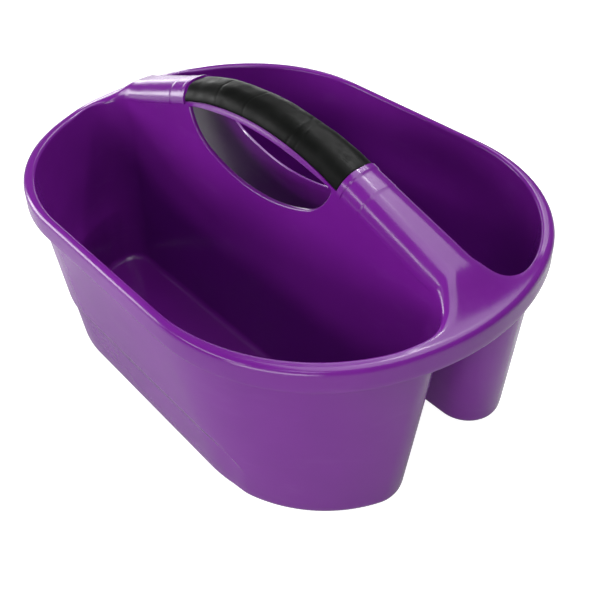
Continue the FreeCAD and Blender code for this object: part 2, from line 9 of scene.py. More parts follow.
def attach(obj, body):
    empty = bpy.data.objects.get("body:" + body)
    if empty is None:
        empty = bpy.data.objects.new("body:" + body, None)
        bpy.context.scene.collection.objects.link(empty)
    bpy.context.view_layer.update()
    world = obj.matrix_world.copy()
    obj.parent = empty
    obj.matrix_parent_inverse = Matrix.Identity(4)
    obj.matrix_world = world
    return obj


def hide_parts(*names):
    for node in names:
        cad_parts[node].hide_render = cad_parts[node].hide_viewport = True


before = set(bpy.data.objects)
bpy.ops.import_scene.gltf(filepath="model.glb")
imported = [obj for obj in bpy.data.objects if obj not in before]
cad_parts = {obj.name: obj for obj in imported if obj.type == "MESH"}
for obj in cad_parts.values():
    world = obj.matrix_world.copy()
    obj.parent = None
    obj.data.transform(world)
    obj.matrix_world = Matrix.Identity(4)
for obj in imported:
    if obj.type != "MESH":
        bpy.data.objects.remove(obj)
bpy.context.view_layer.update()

# Looks for the cleaning caddy: glossy purple plastic on the moulded tub, and a soft black sleeve on its
# handle. The tub is drawn as rings of points that follow each bin's outline, so that the ridge melts into
# the rim. The scene is in metres, and the object's sizes below are in millimetres. X runs along the handle,
# Y across the two bins, Z up, and the origin is on the floor under the handle.

MM = 0.001
WELD = 2e-6

# ---------------------------------------------------------------- sizes, in millimetres
# heights and walls
RIM = 152.5
WALL = 2.6
FLOOR = 2.8
HEM = 136.0
SKIRT_INSIDE_TOP = 143.0
SKIRT_FLARE = 0.6
# the rim's outline and its edge
RIM_ROUND = 4.5
RIM_NOSE, RIM_CORNER = 175.0, 128.0
RIM_HALF_LENGTH, RIM_HALF_WIDTH = 200.0, 148.0
# a bin's outside outline at the floor and at the rim
FOOT = {"half_width": 130.8, "half_gap": 28.0, "end_centre": 76.0, "end_radius": 108.0}
MOUTH = {"half_width": 144.6, "half_gap": 16.4, "end_centre": 61.0, "end_radius": 130.0}
GAP_CORNER = 26.0
FOOT_ROUND = 8.0
BIN_MIDDLE = 82.0
# the low step in the walls
STEP_HEIGHT, STEP_TURN, STEP_RADIUS = 52.0, 77.0, 39.2
STEP_END_DEPTH, STEP_SIDE_DEPTH = 3.8, 1.5
STEP_SIDE_FACING = 0.6
STEP_SIDE_END, STEP_SIDE_FADE = STEP_TURN + STEP_RADIUS - 4.0, 16.0
STEP_SLOPE = 0.7
STEP_INSIDE_SLOPE, STEP_INSIDE_LIFT = 11.0, 5.0
STEP_CLEARANCE = 8.0
# the ridge and its arch
HANDLE_TOP = 213.0
HANDLE_END = 83.0
RIDGE_SLOPE = 0.345
ARCH_RADIUS = HANDLE_END * math.hypot(1.0, RIDGE_SLOPE) / RIDGE_SLOPE
RIDGE_LINE_END = 150.0
CROWN_ROUND = 12.4
TILT_FADE = 60.0
TOE_START, TOE_END = 168.0, 199.0
FAN_START, FAN_LENGTH, FAN_SPREAD = 158.0, 22.0, 0.35
TOE_FADE_START, TOE_FADE_END = 38.0, 68.0
# how far along each shallow band on the crown reaches, and how proud it is
BEADS = ((171.0, 0.4), (104.0, 0.3), (89.0, 0.6))
BEAD_EDGE = 0.6
# the mouth's rounded edge, and the seat and lip for the sleeve
LIP_ROUND = 2.4
EDGE_GAP, EDGE_SHIFT = 0.6, 0.45
SEAT_END = 85.0
SEAT_DROP, SEAT_INSET, SEAT_ROUND = 2.0, 0.8, 9.6
SEAT_CORNER = 0.02
SLEEVE_DEPTH = 11.8
LIP_PROUD, LIP_LENGTH, LIP_FADE = 0.9, 66.0, 12.0
LIP_GROWS, LIP_HOLDS, LIP_ENDS, LIP_SPAN = 4.0, 6.8, 12.0, 14.0
# the underside
HOLLOW_ROUND, UNDER_ROUND, SKIRT_CORNER = 9.0, 1.2, 1.6
ROOM_SHARE = 0.4

# The inner corner turns through 105 degrees, and the rim's nose meets it 45 degrees in.
NOSE_SHARE = 45.0 / 105.0
CORNER_TURN = math.radians(105.0)
NOSE_STATION = math.radians(-45.0)
FACING_SHIFT = math.radians(1.5)
QUARTER = math.pi / 2

# the stretches of a bin's outline, in order from the middle of the ridge side
RIDGE, CORNER, END, SIDE = range(4)


def smooth(value):
    """0 below 0, 1 above 1, and a soft S between."""
    value = np.clip(value, 0.0, 1.0)
    return value * value * (3.0 - 2.0 * value)


# ---------------------------------------------------------------- outlines
def ridge_stations():
    """Distances along the ridge, close together at the sleeve's end and at the bands."""
    near_sleeve = [80.6, 82.4, 83.8, 84.8, 85.1, 86.4, 88.0, 88.7, 89.3, 90.6]
    near_band = [93.0, 97.0, 101.0, 103.0, 103.7, 104.3, 106.0, 109.0]
    return [*np.linspace(0.0, 79.0, 21), *near_sleeve, *near_band, *np.linspace(113.0, RIDGE_LINE_END, 11)]


class Stations:
    """Places round one bin's outline, the same at every height.

    They start at the middle of the ridge side, go round the right end and come back round the left.
    """

    def __init__(self):
        corner = np.linspace(0.0, 1.0, 31)
        nose = int(np.argmin(abs(corner - NOSE_SHARE)))
        corner[nose] = NOSE_SHARE
        ridge = ridge_stations()
        stretches = ((RIDGE, ridge), (CORNER, corner), (END, np.linspace(0.0, 1.0, 45)[1:]),
                     (SIDE, np.linspace(0.0, 1.0, 19)[1:]))
        right = [(kind, value) for kind, values in stretches for value in values]
        left = right[-2:0:-1]
        self.kind = np.array([kind for kind, _ in right + left])
        self.value = np.array([value for _, value in right + left])
        self.sign = np.array([1.0] * len(right) + [-1.0] * len(left))
        self.count = len(self.kind)
        first = len(ridge) + nose
        self.rim = range(first, self.count - first + 1)

    def choose(self, ridge, corner, end, side):
        """The value for each station's own stretch."""
        stretches = [self.kind == RIDGE, self.kind == CORNER, self.kind == END]
        return np.select(stretches, [ridge, corner, end], side)

    def sizes(self, height, inset):
        """Half width, half gap, and the end arc's centre and radius. Inset is 0 outside and 1 inside."""
        share = (height - inset * FLOOR) / RIM
        width, gap, centre, radius = (FOOT[key] + share * (MOUTH[key] - FOOT[key])
                                      for key in ("half_width", "half_gap", "end_centre", "end_radius"))
        return width - inset * WALL, gap + inset * WALL, centre, radius - inset * WALL

    def turn(self, height, inset):
        """Normal angle where the inner corner meets the end arc, with the corner's centre and radius."""
        width, gap, centre, radius = self.sizes(height, inset)
        corner = GAP_CORNER - inset * WALL
        rise = (gap + corner) - (width - radius)
        run = np.sqrt((radius - corner) ** 2 - rise ** 2)
        return np.arctan2(rise, run), centre + run, gap + corner, corner

    def angle(self, height=RIM, inset=1):
        """Direction of the normal away from the bin: -90 degrees faces the ridge, 90 the outside."""
        turn = self.turn(height, inset)[0]
        return self.choose(-QUARTER, self.corner_angle(turn), turn + self.value * (QUARTER - turn), QUARTER)

    def corner_angle(self, turn):
        """The station that meets the rim's nose keeps its direction at every height."""
        below = -QUARTER + self.value / NOSE_SHARE * (NOSE_STATION + QUARTER)
        above = NOSE_STATION + (self.value - NOSE_SHARE) / (1.0 - NOSE_SHARE) * (turn - NOSE_STATION)
        return np.where(self.value <= NOSE_SHARE, below, above)

    def place(self, height, inset):
        """x and distance from the handle's plane at a height, with the outline's normal."""
        height = np.broadcast_to(np.asarray(height, float), (self.count,))
        width, gap, centre, radius = self.sizes(height, inset)
        _, corner_x, corner_v, corner = self.turn(height, inset)
        angle = self.angle(height, inset)
        across = self.choose(gap, corner_v + corner * np.sin(angle),
                             width - radius + radius * np.sin(angle), width)
        along = self.choose(self.value - ridge_tilt(self.value, height), corner_x + corner * np.cos(angle),
                            centre + radius * np.cos(angle), centre * (1.0 - self.value))
        normal_x = np.where(np.abs(np.abs(angle) - QUARTER) < 1e-9, 0.0, np.cos(angle)) * self.sign
        return along * self.sign, across, normal_x, np.sin(angle)


def rim_point(stations, growth):
    """The rim's outline opposite each station, moved out by a growth, with its normal."""
    rise = RIM_HALF_WIDTH - RIM_CORNER
    run = math.sqrt((RIM_NOSE - RIM_CORNER) ** 2 - rise ** 2)
    nose_x = RIM_HALF_LENGTH - RIM_NOSE
    angle = stations.angle()
    joint = stations.turn(RIM, 1)[0]
    shifted = joint + FACING_SHIFT
    early = (angle - NOSE_STATION) / (joint - NOSE_STATION) * shifted
    late = shifted + (angle - joint) / (QUARTER - joint) * (QUARTER - joint - FACING_SHIFT)
    facing = np.where(angle < joint, early, late)
    on_nose = facing < math.atan2(rise, run)
    nose, corner = RIM_NOSE + growth, RIM_CORNER + growth
    x = np.where(on_nose, nose_x + nose * np.cos(facing), nose_x + run + corner * np.cos(facing))
    v = np.where(on_nose, nose * np.sin(facing), rise + corner * np.sin(facing))
    on_side = stations.kind == SIDE
    x = np.where(on_side, (nose_x + run) * (1.0 - stations.value), x)
    v = np.where(on_side, RIM_HALF_WIDTH + growth, v)
    return x * stations.sign, v, np.where(on_side, 0.0, np.cos(facing)) * stations.sign, np.sin(facing)


# ---------------------------------------------------------------- heights
def crown(x):
    """Height of the ridge's top along the middle: an arch, a straight slope each side, and a soft toe."""
    x = np.abs(x)
    inside = HANDLE_TOP - ARCH_RADIUS + np.sqrt(ARCH_RADIUS ** 2 - np.minimum(x, HANDLE_END) ** 2)
    slope = inside - RIDGE_SLOPE * np.maximum(x - HANDLE_END, 0.0)
    return RIM + (slope - RIM) * (1.0 - smooth((x - TOE_START) / (TOE_END - TOE_START)))


def crown_lean(x):
    """How steeply the crown falls at a place, as a slope."""
    inner = np.minimum(np.abs(x), HANDLE_END)
    return inner / np.sqrt(ARCH_RADIUS ** 2 - inner ** 2)


def ridge_tilt(x, height):
    """How far a line square to the crown has moved towards the middle at a height."""
    depth = np.clip(crown(x) - height, 0.0, None)
    full = np.minimum(depth, CROWN_ROUND)
    return crown_lean(x) * full * (1.0 - smooth((depth - CROWN_ROUND) / TILT_FADE))


def top_height(x, v):
    """The top surface: the rim's flat, with the ridge rising out of it in a fan-shaped toe."""
    x = np.abs(x)
    beyond = np.maximum(x - FAN_START, 0.0)
    fan = FAN_SPREAD * smooth(beyond / FAN_LENGTH)
    reach = np.where(beyond > 0, FAN_START + np.hypot(beyond, fan * v), x)
    window = 1.0 - smooth((v - TOE_FADE_START) / (TOE_FADE_END - TOE_FADE_START))
    return RIM + (crown(reach) - RIM) * window


def bead(x):
    """Extra height of the shallow bands on the crown."""
    x = np.abs(x)
    return sum(proud * (1.0 - smooth((x - end + BEAD_EDGE / 2) / BEAD_EDGE)) for end, proud in BEADS)


# ---------------------------------------------------------------- rings
class Rings:
    """Collects rings of points round one bin, and skins each to the next."""

    def __init__(self, stations):
        self.stations = stations
        self.points = []
        self.faces = []

    def ring(self, x, v, z, only=None):
        """Adds a ring, of every station or only some, and says which point each station got."""
        start = len(self.points)
        members = range(self.stations.count) if only is None else only
        self.points += [(x[i], v[i], z[i]) for i in members]
        return {i: start + place for place, i in enumerate(members)}

    def skin(self, found, closed=True):
        """Joins each ring to the next with a strip of faces."""
        for first, second in zip(found, found[1:]):
            members = sorted(set(first) & set(second))
            pairs = list(zip(members, members[1:]))
            if closed:
                pairs.append((members[-1], members[0]))
            self.faces += [(first[a], first[b], second[b], second[a]) for a, b in pairs]

    def cap(self, ring):
        self.faces.append(tuple(ring[i] for i in sorted(ring)))


def step_edge(x, inset):
    """Height of the step's upper edge: level, then curving down to the foot on the right."""
    radius = STEP_RADIUS + inset * WALL
    run = np.clip(x - STEP_TURN, 0.0, radius)
    edge = STEP_HEIGHT + inset * WALL - radius + np.sqrt(radius ** 2 - run ** 2)
    return np.maximum(edge, FOOT_ROUND + STEP_CLEARANCE)


def step_in(x, normal_x, normal_v, height, inset):
    """How far the low step moves the bin's wall in, at a place and height."""
    slope = STEP_INSIDE_SLOPE if inset else STEP_SLOPE
    edge = step_edge(x, inset) + inset * STEP_INSIDE_LIFT
    facing_side = smooth((normal_v + STEP_SIDE_FACING) / STEP_SIDE_FACING)
    depth = STEP_END_DEPTH * np.maximum(-normal_x, 0.0) ** 2
    depth = depth + STEP_SIDE_DEPTH * facing_side * smooth((STEP_SIDE_END - x) / STEP_SIDE_FADE)
    return depth * smooth((edge + slope - height) / (2.0 * slope))


def wall_heights(stations, low, high, inset):
    """Ring heights up the wall at each station, close together at the step's edge."""
    edge = step_edge(stations.place(RIM / 3.0, inset)[0], inset)
    above = edge + STEP_SLOPE
    rows = [low + (edge - STEP_SLOPE - low) * share for share in (0.0, 0.33, 0.66, 0.9)]
    rows += [edge + STEP_SLOPE * offset for offset in (-1.0, -0.6, -0.2, 0.2, 0.6, 1.0)]
    rows += [above + (high - edge - STEP_SLOPE) * share for share in (0.06, 0.2, 0.4, 0.6, 0.8, 0.93, 1.0)]
    return rows


def wall_ring(rings, height, inset, push=0.0):
    """A ring on the wall at a height, pushed away from the bin."""
    x, v, nx, nv = rings.stations.place(height, inset)
    move = push - step_in(x, nx, nv, height, inset)
    return rings.ring(x + nx * move, v + nv * move, np.broadcast_to(height, x.shape))


def foot_rings(rings, base, radius, inset):
    """The rounded foot of a wall and the flat inside it, from the middle outwards."""
    x, v, nx, nv = rings.stations.place(base + radius, inset)
    stepped = step_in(x, nx, nv, np.full(x.shape, base), inset)
    flat_x, flat_v = x - nx * (radius + stepped), v - nv * (radius + stepped)
    found = [rings.ring(flat_x * 0.9, BIN_MIDDLE + (flat_v - BIN_MIDDLE) * 0.8, np.full(x.shape, base))]
    rings.cap(found[0])
    for angle in np.linspace(0.0, QUARTER, 8)[:-1]:
        height = base + radius * (1.0 - math.cos(angle))
        x, v, nx, nv = rings.stations.place(height, inset)
        move = -stepped - radius * (1.0 - math.sin(angle))
        found.append(rings.ring(x + nx * move, v + nv * move, np.full(x.shape, height)))
    return found


def rim_profile():
    """How far out and how high the rim is, over its rounded edge, down the skirt and up inside it."""
    middle = HEM + WALL / 2
    profile = [(-RIM_ROUND * (1.0 - math.sin(turn)), RIM - RIM_ROUND * (1.0 - math.cos(turn)))
               for turn in np.linspace(0.0, QUARTER, 8)[1:]]
    profile += [(SKIRT_FLARE * share, RIM - RIM_ROUND + (middle - RIM + RIM_ROUND) * share)
                for share in (0.3, 0.65, 1.0)]
    profile += [(SKIRT_FLARE - WALL / 2 * (1.0 - math.cos(turn)), HEM + WALL / 2 * (1.0 - math.sin(turn)))
                for turn in np.linspace(0.0, math.pi, 8)[1:]]
    return profile + [(SKIRT_FLARE * 0.4 - WALL, SKIRT_INSIDE_TOP)]


# ---------------------------------------------------------------- the tub
class HalfTub:
    """The half of the tub on one side of the handle's plane, drawn as rings round its bin."""

    def __init__(self):
        self.stations = Stations()
        self.rings = Rings(self.stations)
        along = self.stations.value
        self.on_ridge = self.stations.kind == RIDGE
        self.on_handle = self.on_ridge & (along < SEAT_END)
        self.on_rim = np.zeros(self.stations.count, bool)
        self.on_rim[list(self.stations.rim)] = True
        self.towards_rim = smooth((self.stations.angle() + QUARTER) / CORNER_TURN)
        mouth_round = CROWN_ROUND + (LIP_ROUND - CROWN_ROUND) * self.towards_rim
        self.edge_round = np.where(self.on_handle, SEAT_ROUND, mouth_round)
        self.beads = np.where(self.on_ridge, bead(along), 0.0)
        self.drop = np.where(self.on_handle, SEAT_DROP, -self.beads)
        self.inset = np.where(self.on_handle, SEAT_INSET, -self.beads)
        self.top = self.edge_top()
        self.edge_x, self.edge_v = self.top_edge()

    def edge_top(self):
        """Height of the top surface where the mouth's rounded edge meets it."""
        ridge_top = crown(self.stations.value)
        top = np.where(self.on_ridge, ridge_top, RIM)
        for _ in range(4):
            x, v, nx, nv = self.stations.place(top, 1)
            rim_top = top_height(x + nx * self.edge_round, v + nv * self.edge_round)
            top = np.where(self.on_ridge, ridge_top, rim_top)
        return top

    def top_edge(self):
        """Where the top surface ends: at the rim's rounded edge, or in the middle of the ridge."""
        rim_x, rim_v, _, _ = rim_point(self.stations, -RIM_ROUND)
        corner_x = self.stations.turn(RIM, 1)[1]
        share = np.clip((self.stations.angle() + QUARTER) / (NOSE_STATION + QUARTER), 0, 1)
        middle = corner_x + (RIM_HALF_LENGTH - RIM_ROUND - corner_x) * np.sin(share * QUARTER)
        x = np.where(self.on_rim, rim_x, middle * self.stations.sign)
        x = np.where(self.on_ridge, self.stations.value * self.stations.sign, x)
        return x, np.where(self.on_rim, rim_v, 0.0)

    def inside_wall(self):
        """The bin's inner face, from the middle of its floor up to the lip under the sleeve."""
        ledge = self.top - np.where(self.on_handle, SLEEVE_DEPTH, self.edge_round + EDGE_GAP)
        found = foot_rings(self.rings, FLOOR, FOOT_ROUND - WALL, 1)
        heights = wall_heights(self.stations, FLOOR + FOOT_ROUND - WALL, ledge - LIP_SPAN, 1)
        found += [wall_ring(self.rings, height, 1) for height in heights]
        under_handle = 1.0 - smooth((self.stations.value - LIP_LENGTH) / LIP_FADE)
        under_handle = np.where(self.on_ridge, under_handle, 0.0)
        for below in (12.0, 9.2, 6.8, 5.2, 4.0, 2.8, 1.6, 0.7):
            fade = 1.0 - smooth((below - LIP_HOLDS) / (LIP_ENDS - LIP_HOLDS))
            lip = LIP_PROUD * smooth(below / LIP_GROWS) * fade
            found.append(wall_ring(self.rings, ledge - below, 1, -lip * under_handle))
        found.append(wall_ring(self.rings, ledge, 1))
        corner = ledge + SEAT_CORNER + np.where(self.on_handle, 0.0, EDGE_SHIFT)
        return found + [wall_ring(self.rings, corner, 1, self.inset)]

    def mouth_edge(self):
        """The mouth's rounded edge, and where its last ring lies."""
        found = []
        for turn in np.linspace(0.0, QUARTER, 10):
            depth = self.edge_round * (1.0 - math.sin(turn)) + np.where(self.on_handle, self.drop, 0.0)
            x, v, nx, nv = self.stations.place(self.top - depth, 1)
            inset = np.where(self.on_handle, self.inset, self.inset * math.cos(turn))
            move = self.edge_round * (1.0 - math.cos(turn)) + inset
            x, v = x + nx * move, v + nv * move
            level = np.where(self.on_ridge, self.top, top_height(x, v))
            rise = np.where(self.on_handle, 0.0, self.beads * math.sin(turn))
            found.append(self.rings.ring(x, v, level - depth + rise))
        return found, x, v

    def top_surface(self, from_x, from_v):
        """The top, out to the rim's rounded edge or to the middle of the ridge."""
        found = []
        for share in (0.15, 0.3, 0.45, 0.6, 0.75, 0.88, 1.0):
            x, v = from_x + (self.edge_x - from_x) * share, from_v + (self.edge_v - from_v) * share
            z = np.where(self.on_ridge, self.top - self.drop, top_height(x, v))
            found.append(self.rings.ring(x, v, z))
        return found

    def rim(self, edge):
        """The rim from its edge ring: the rounding, the skirt, the hem and the inside of the skirt."""
        only = list(self.stations.rim)
        found = [{i: edge[i] for i in only}]
        inner_x, inner_v, _, _ = rim_point(self.stations, -RIM_ROUND)
        for growth, height in rim_profile():
            x, v, _, _ = rim_point(self.stations, growth)
            lift = top_height(inner_x, inner_v) - RIM if height > RIM - RIM_ROUND else 0.0
            found.append(self.rings.ring(x, v, np.full(x.shape, height) + lift, only))
        return found

    def under_height(self, x, v):
        return np.where(self.on_ridge, self.top - self.drop - WALL, top_height(x, v) - WALL)

    def underside(self, around):
        """Under the top and down the bin's outer wall to its foot. Also finishes and skins the skirt."""
        under = np.where(self.on_ridge, self.top - self.drop - WALL, RIM - WALL)
        skirt_x, skirt_v, out_x, out_v = rim_point(self.stations, -WALL)
        wall_x, wall_v, wall_nx, wall_nv = self.stations.place(under, 0)
        room = np.hypot(skirt_x - wall_x, skirt_v - wall_v) * ROOM_SHARE
        small = np.minimum(SKIRT_CORNER, room)
        hollow = HOLLOW_ROUND + (UNDER_ROUND - HOLLOW_ROUND) * self.towards_rim
        hollow = np.where(self.on_rim, np.minimum(hollow, room), hollow)
        only = list(self.stations.rim)
        for turn in np.linspace(0.0, QUARTER, 4)[:-1]:
            move = -small * (1.0 - math.cos(turn))
            z = under - small * (1.0 - math.sin(turn))
            around.append(self.rings.ring(skirt_x + out_x * move, skirt_v + out_v * move, z, only))
        start_x = np.where(self.on_rim, skirt_x - out_x * small, self.edge_x)
        start_v = np.where(self.on_rim, skirt_v - out_v * small, 0.0)
        end_x, end_v = wall_x + wall_nx * hollow, wall_v + wall_nv * hollow
        found = []
        for share in (0.0, 0.2, 0.4, 0.6, 0.8, 1.0):
            x, v = start_x + (end_x - start_x) * share, start_v + (end_v - start_v) * share
            found.append(self.rings.ring(x, v, self.under_height(x, v)))
        around.append({i: found[0][i] for i in only})
        self.rings.skin(around, closed=False)
        end_z = self.under_height(end_x, end_v)
        for turn in np.linspace(QUARTER, 0.0, 7)[1:]:
            z = end_z - hollow * (1.0 - math.sin(turn))
            x, v, nx, nv = self.stations.place(z, 0)
            move = hollow * (1.0 - math.cos(turn))
            found.append(self.rings.ring(x + nx * move, v + nv * move, z))
        heights = wall_heights(self.stations, FOOT_ROUND, end_z - hollow - 1.0, 0)
        found += [wall_ring(self.rings, height, 0) for height in reversed(heights)]
        return found + foot_rings(self.rings, 0.0, FOOT_ROUND, 0)[::-1]

    def build(self):
        """Points and faces of this half."""
        inner = self.inside_wall()
        edge, x, v = self.mouth_edge()
        inner += edge + self.top_surface(x, v)
        self.rings.skin(inner)
        self.rings.skin(self.underside(self.rim(inner[-1])))
        return self.rings


def tub_mesh():
    """The whole tub: two mirrored halves joined in the handle's plane."""
    half = HalfTub().build()
    mesh = bmesh.new()
    for side in (-1.0, 1.0):
        places = [mesh.verts.new((x * MM, side * v * MM, z * MM)) for x, v, z in half.points]
        for face in half.faces:
            corners = [places[i] for i in face]
            mesh.faces.new(corners if side > 0 else corners[::-1])
    bmesh.ops.remove_doubles(mesh, verts=mesh.verts, dist=WELD)
    bmesh.ops.recalc_face_normals(mesh, faces=mesh.faces)
    return mesh


# ---------------------------------------------------------------- hand opening
OPENING_HALF = 77.0
OPENING_TOP, OPENING_BOTTOM = 195.5, 149.3
OPENING_TOP_RADIUS, OPENING_BOTTOM_RADIUS, OPENING_CORNER = 280.0, 140.0, 39.0
OPENING_ROUND = 1.3
CUTTER_REACH = 4.0


def arc_points(x, z, radius, start, end, steps):
    """Points on an arc, each with the direction square to it."""
    turns = np.linspace(start, end, steps)
    return [(x + radius * math.cos(t), z + radius * math.sin(t), math.cos(t), math.sin(t)) for t in turns]


def opening_outline():
    """The opening's edge, anticlockwise from the left end of its lower curve."""
    corner_x = OPENING_HALF - OPENING_CORNER
    floor_z, roof_z = OPENING_BOTTOM + OPENING_BOTTOM_RADIUS, OPENING_TOP - OPENING_TOP_RADIUS
    drop = math.sqrt((OPENING_BOTTOM_RADIUS - OPENING_CORNER) ** 2 - corner_x ** 2)
    corner_z = floor_z - drop
    turn = math.atan2(corner_x, drop)
    apart = math.hypot(corner_x, corner_z - roof_z)
    along = (OPENING_CORNER ** 2 - OPENING_TOP_RADIUS ** 2 + apart ** 2) / (2 * apart)
    meet = math.atan2(roof_z - corner_z, -corner_x) + math.acos(along / OPENING_CORNER)
    roof_turn = math.asin((corner_x + OPENING_CORNER * math.cos(meet)) / OPENING_TOP_RADIUS)
    low = -QUARTER
    arcs = ((0, floor_z, OPENING_BOTTOM_RADIUS, low - turn, low + turn, 30),
            (corner_x, corner_z, OPENING_CORNER, low + turn, meet, 30),
            (0, roof_z, OPENING_TOP_RADIUS, QUARTER - roof_turn, QUARTER + roof_turn, 50),
            (-corner_x, corner_z, OPENING_CORNER, math.pi - meet, low - turn + 2 * math.pi, 30))
    return [point for arc in arcs for point in arc_points(*arc)[:-1]]


def ridge_wall(height):
    """Distance of the ridge's outer face from its middle at a height."""
    gap = FOOT["half_gap"] + (height - FLOOR) / RIM * (MOUTH["half_gap"] - FOOT["half_gap"])
    return gap + WALL


def close_tube(mesh, rings):
    """Joins rings of vertices into a tube and closes both its ends."""
    for first, second in zip(rings, rings[1:]):
        for place in range(len(first)):
            after = (place + 1) % len(first)
            mesh.faces.new((first[place], first[after], second[after], second[place]))
    mesh.faces.new(rings[0])
    mesh.faces.new(rings[-1])
    bmesh.ops.recalc_face_normals(mesh, faces=mesh.faces)


def opening_cutter():
    """A plug shaped like the opening that widens where it leaves each wall, to round the edges."""
    steps = [(OPENING_ROUND * (math.sin(t) - 1.0), OPENING_ROUND * (1.0 - math.cos(t)))
             for t in np.linspace(0.0, QUARTER, 6)]
    steps.append((CUTTER_REACH, OPENING_ROUND))
    mesh = bmesh.new()
    rings = []
    for side, order in ((-1.0, reversed(steps)), (1.0, steps)):
        for reach, widen in order:
            rings.append([mesh.verts.new(((x + nx * widen) * MM, side * (ridge_wall(z) + reach) * MM,
                                          (z + nz * widen) * MM)) for x, z, nx, nz in opening_outline()])
    close_tube(mesh, rings)
    return mesh


# ---------------------------------------------------------------- grip sleeve
SLEEVE_PROUD = 1.0
SLEEVE_ROUND = CROWN_ROUND + SLEEVE_PROUD
SLEEVE_HALF_LENGTH = 84.4
SLEEVE_LIP = 0.9
SLEEVE_STATIONS = 260
SEAT_OVERLAP, CORE_OVERLAP = 0.2, 0.3
SIDE_SAMPLE_DEPTH = 6.0
SECTION_CENTRE = 13.0
WORN_LENGTH = 12.0
INSIDE_POINTS = 9
# where each crease lies along the handle, how deep it is and how wide
CREASES = ((-46.0, 0.30, 1.3), (-12.0, 0.22, 1.0), (34.0, 0.34, 1.2), (41.0, 0.20, 0.8))


def sleeve_section(top, thickness):
    """Half of the sleeve's section: distance across, and depth below the crown, down one side."""
    reach = ridge_wall(top - SIDE_SAMPLE_DEPTH) + SLEEVE_PROUD
    radius = SLEEVE_ROUND
    last = math.asin(1.0 - (SLEEVE_DEPTH - SLEEVE_LIP) / radius)
    outside = [(reach - radius, 0.0)]
    outside += [(reach - radius + radius * math.cos(t), radius * (1.0 - math.sin(t)))
                for t in np.linspace(QUARTER, last, 15)[1:]]
    edge = outside[-1]
    outside += [(edge[0] - SLEEVE_LIP * (1.0 - math.cos(t)), edge[1] + SLEEVE_LIP * math.sin(t))
                for t in np.linspace(0.0, QUARTER, 5)[1:]]
    outside.append((reach - thickness, SLEEVE_DEPTH))
    core, roof = SEAT_ROUND - CORE_OVERLAP, SEAT_DROP - CORE_OVERLAP
    inside = [(reach - thickness - core * (1.0 - math.cos(t)), roof + core * (1.0 - math.sin(t)))
              for t in np.linspace(0.0, QUARTER, INSIDE_POINTS)]
    return [(0.0, 0.0), *outside, *inside, (0.0, roof)]


def surface_change(x, around):
    """How far creases and slack move the sleeve's surface in or out, in that order."""
    crease = sum(deep * math.exp(-((x - at - 1.5 * math.sin(1.7 * around + at)) / wide) ** 2)
                 for at, deep, wide in CREASES) * (0.55 + 0.45 * math.cos(around + 0.4))
    slack = 0.18 * math.sin(x * 0.11 + 1.3 * around) + 0.08 * math.sin(x * 0.31 - 2.0 * around)
    return crease, slack


def sleeve_ring(x, lean, top):
    """One section of the sleeve as places in millimetres, square to the handle's arch."""
    half = sleeve_section(top, SLEEVE_PROUD + SEAT_INSET - SEAT_OVERLAP)
    outside = len(half) - INSIDE_POINTS - 1
    loop = [(across, depth, place < outside) for place, (across, depth) in enumerate(half)]
    loop += [(-across, depth, is_outside) for across, depth, is_outside in reversed(loop[1:-1])]
    near_end = max(0.0, 1.0 - (SLEEVE_HALF_LENGTH - abs(x)) / SLEEVE_LIP)
    pull = SLEEVE_LIP * (1.0 - math.sqrt(max(0.0, 1.0 - near_end ** 2)))
    wear = max(0.0, 1.0 - (x + SLEEVE_HALF_LENGTH) / WORN_LENGTH)
    places = []
    for across, depth, is_outside in loop:
        around = math.atan2(across, SECTION_CENTRE - 1.0 - depth)
        crease, slack = surface_change(x, around)
        worn = wear * (1.2 + 0.7 * math.sin(5.0 * around) + 0.45 * math.sin(11.0 * around + 1.0))
        inward = crease + pull - slack * (1.0 - near_end) if is_outside else 0.0
        scale = 1.0 - inward / math.hypot(across, SECTION_CENTRE - depth)
        depth = SECTION_CENTRE - (SECTION_CENTRE - depth) * scale
        places.append((x + worn - depth * math.sin(lean), across * scale,
                       top - worn * math.tan(lean) - depth * math.cos(lean)))
    return places


def sleeve_mesh():
    """The sleeve swept along the handle's arch, with shallow creases, soft lips and a worn left end."""
    lips = [end * (SLEEVE_HALF_LENGTH - step) for end in (-1.0, 1.0) for step in (0.1, 0.3, 0.6)]
    mesh = bmesh.new()
    rings = []
    for x in sorted([*np.linspace(-SLEEVE_HALF_LENGTH, SLEEVE_HALF_LENGTH, SLEEVE_STATIONS), *lips]):
        lean = math.copysign(math.asin(min(abs(x), HANDLE_END) / ARCH_RADIUS), x)
        places = sleeve_ring(x, lean, float(crown(x)))
        rings.append([mesh.verts.new((x * MM, y * MM, z * MM)) for x, y, z in places])
    close_tube(mesh, rings)
    return mesh


# ---------------------------------------------------------------- view
# degrees, metres, and the lens and sensor in millimetres
CAMERA_AZIMUTH = 49.61
CAMERA_ELEVATION = 41.28
CAMERA_ROLL = -1.55
CAMERA_PLACE = Vector((0.3720, -0.3005, 0.4592))
CAMERA_LENS = 47.80
CAMERA_SENSOR = 36.0


